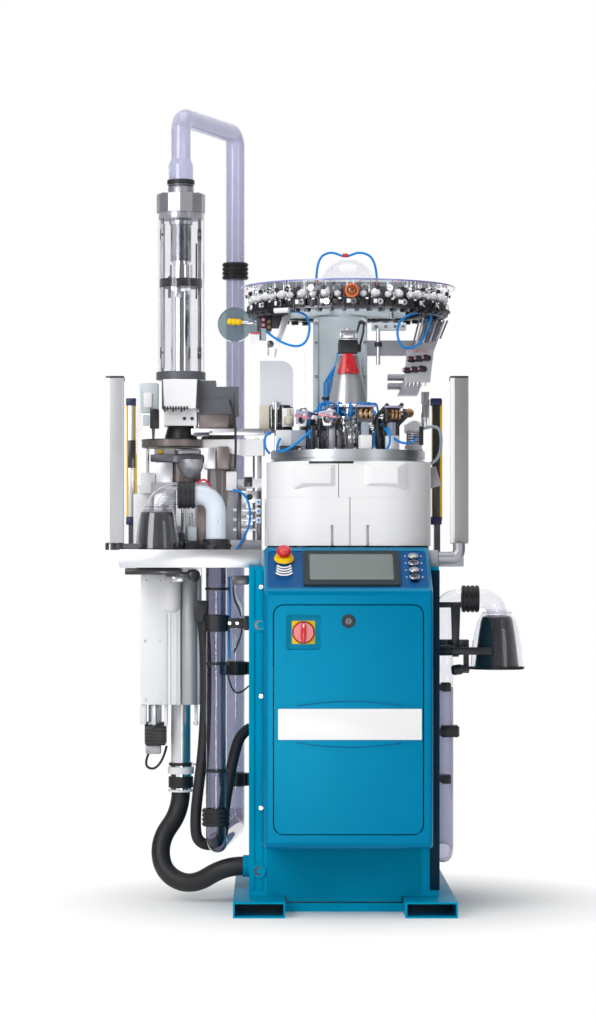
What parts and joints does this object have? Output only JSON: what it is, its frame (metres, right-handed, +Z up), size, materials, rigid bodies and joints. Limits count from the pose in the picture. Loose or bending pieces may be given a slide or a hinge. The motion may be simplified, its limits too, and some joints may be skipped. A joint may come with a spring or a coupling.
{
  "type": "sock knitting machine",
  "caption": "Floor-standing circular sock knitting machine with a needle cylinder, yarn feeder ring, toe closing unit and suction tubes.",
  "frame": {"origin": "on the floor, straight under the needle axis", "axes": "+X to the operator's right, +Y to the back, +Z up along the needle axis"},
  "size_m": [1.2016, 0.92, 2.2995],
  "materials": {
    "teal_paint": "satin powder coat",
    "hood_teal": "satin moulding",
    "desk_blue": "matte",
    "bezel_grey": "matte",
    "signal_red": "gloss",
    "button_white": "gloss",
    "black_plastic": "matte",
    "white_cover": "satin",
    "bare_aluminium": "satin",
    "machined_steel": "ground",
    "bright_tube": "polished",
    "motor_black": "matte",
    "rubber_black": "matte",
    "mast_grey": "satin",
    "ring_black": "matte",
    "guide_white": "glazed",
    "clear_sheet": "clear",
    "smoked_plastic": "gloss",
    "grey_boxes": "satin",
    "curtain_yellow": "gloss",
    "cast_grey": "cast",
    "rack_zinc": "zinc"
  },
  "bodies": {
    "frame": {"base_frame": "teal_paint", "cabinet_shell": "teal_paint", "plinth_panel": "teal_paint", "control_rack": "rack_zinc", "front_hood": "hood_teal", "control_panel": "desk_blue", "display": "bezel_grey", "bed_base": "machined_steel", "bed_plate": "bare_aluminium", "cam_ring": "machined_steel", "main_motor": "motor_black", "drive_belt": "rubber_black", "skirt_upper": "white_cover", "mast": "mast_grey", "yarn_ring": "ring_black", "yarn_guides": "guide_white", "ring_disc": "clear_sheet", "yarn_lamp": "smoked_plastic", "finger_magazine": "ring_black", "finger_units": "motor_black", "bed_boxes": "grey_boxes", "side_motor_cover": "white_cover", "table": "bare_aluminium", "mirror_posts": "bare_aluminium", "light_curtains": "curtain_yellow", "toe_column": "bare_aluminium", "transfer_frame": "bare_aluminium", "toe_motor_box": "motor_black", "toe_base": "motor_black", "toe_cover": "white_cover", "toe_guard": "clear_sheet", "toe_cap": "cast_grey", "lower_housing": "white_cover", "sock_hose": "rubber_black", "top_tube": "clear_sheet", "drop_tube": "clear_sheet", "side_tube": "clear_sheet", "suction_bells": "smoked_plastic", "tube_couplings": "black_plastic"},
    "door": {"front_door": "hood_teal"},
    "main_switch": {"switch_handle": "signal_red"},
    "lock": {"door_lock": "black_plastic"},
    "estop": {"estop_button": "signal_red"},
    "button_1": {"push_button_1": "button_white"},
    "button_2": {"push_button_2": "black_plastic"},
    "button_3": {"push_button_3": "button_white"},
    "button_4": {"push_button_4": "black_plastic"},
    "right_skirt": {"skirt_door_right": "white_cover"},
    "left_skirt": {"skirt_door_left": "white_cover"},
    "cylinder": {"needle_cylinder": "machined_steel"},
    "drive_pulley": {"motor_pulley": "machined_steel"},
    "dial_head": {"dial_housing": "bare_aluminium", "dial_motor": "motor_black", "dial_guard": "signal_red"},
    "dial_plate": {"dial": "machined_steel"},
    "sock_tube": {"slide_tube": "bright_tube"},
    "pickup_arm": {"transfer_arm": "white_cover"},
    "linking_head": {"linking_dial": "machined_steel"},
    "flap_left": {"left_flap": "black_plastic"},
    "flap_right": {"right_flap": "black_plastic"}
  },
  "joints": [
    {"name": "door_hinge", "type": "hinge", "parent": "frame", "child": "door", "pos_m": [-0.01, -0.428, 0.234], "axis": [1, 0, 0], "range_deg": [0, 85]},
    {"name": "switch_turn", "type": "hinge", "parent": "door", "child": "main_switch", "pos_m": [-0.133, -0.43, 0.785], "axis": [0, 1, 0], "range_deg": [0, 90]},
    {"name": "lock_turn", "type": "hinge", "parent": "door", "child": "lock", "pos_m": [-0.01, -0.43, 0.816], "axis": [0, 1, 0], "range_deg": [0, 90]},
    {"name": "estop_press", "type": "slide", "parent": "frame", "child": "estop", "axis": [0, 0.5065, -0.8623], "range_m": [0, 0.006], "stiffness_N_per_m": 2500, "springref_m": -0.004},
    {"name": "button_press_1", "type": "slide", "parent": "frame", "child": "button_1", "axis": [0, 0.5065, -0.8623], "range_m": [0, 0.003], "stiffness_N_per_m": 1500, "springref_m": -0.002},
    {"name": "button_press_2", "type": "slide", "parent": "frame", "child": "button_2", "axis": [0, 0.5065, -0.8623], "range_m": [0, 0.003], "stiffness_N_per_m": 1500, "springref_m": -0.002},
    {"name": "button_press_3", "type": "slide", "parent": "frame", "child": "button_3", "axis": [0, 0.5065, -0.8623], "range_m": [0, 0.003], "stiffness_N_per_m": 1500, "springref_m": -0.002},
    {"name": "button_press_4", "type": "slide", "parent": "frame", "child": "button_4", "axis": [0, 0.5065, -0.8623], "range_m": [0, 0.003], "stiffness_N_per_m": 1500, "springref_m": -0.002},
    {"name": "right_skirt_hinge", "type": "hinge", "parent": "frame", "child": "right_skirt", "pos_m": [0.235, 0.02, 1.012], "axis": [0, 0, 1], "range_deg": [0, 22.5]},
    {"name": "left_skirt_hinge", "type": "hinge", "parent": "frame", "child": "left_skirt", "pos_m": [-0.235, 0.02, 1.012], "axis": [0, 0, -1], "range_deg": [0, 22.5]},
    {"name": "cylinder_spin", "type": "hinge", "parent": "frame", "child": "cylinder", "pos_m": [0, 0, 1.296], "axis": [0, 0, 1], "continuous": true},
    {"name": "pulley_spin", "type": "hinge", "parent": "frame", "child": "drive_pulley", "pos_m": [-0.15, 0, 1.262], "axis": [0, 0, 1], "continuous": true},
    {"name": "dial_lift", "type": "slide", "parent": "frame", "child": "dial_head", "axis": [0, 0, 1], "range_m": [0, 0.03]},
    {"name": "dial_spin", "type": "hinge", "parent": "dial_head", "child": "dial_plate", "pos_m": [0, 0, 1.396], "axis": [0, 0, 1], "continuous": true},
    {"name": "sock_tube_slide", "type": "slide", "parent": "frame", "child": "sock_tube", "axis": [0, 0, 1], "range_m": [-0.1, 0.045]},
    {"name": "pickup_swing", "type": "hinge", "parent": "frame", "child": "pickup_arm", "pos_m": [-0.262, 0.03, 1.313], "axis": [0, 0, 1], "range_deg": [0, 75]},
    {"name": "linking_spin", "type": "hinge", "parent": "frame", "child": "linking_head", "pos_m": [-0.484, 0.06, 1.266], "axis": [0, 0, 1], "continuous": true},
    {"name": "left_flap_hinge", "type": "hinge", "parent": "frame", "child": "flap_left", "pos_m": [-0.477, -0.12, 0.946], "axis": [0, -1, 0], "range_deg": [0, 45], "stiffness_Nm_per_rad": 0.35, "springref_deg": -34.38},
    {"name": "right_flap_hinge", "type": "hinge", "parent": "frame", "child": "flap_right", "pos_m": [0.345, 0.06, 0.663], "axis": [0, 1, 0], "range_deg": [0, 45], "stiffness_Nm_per_rad": 0.6, "springref_deg": -34.38}
  ],
  "couplings": [
    {"joint": "pulley_spin", "follows": "cylinder_spin", "ratio": 2.8333},
    {"joint": "dial_spin", "follows": "cylinder_spin", "ratio": 1}
  ]
}
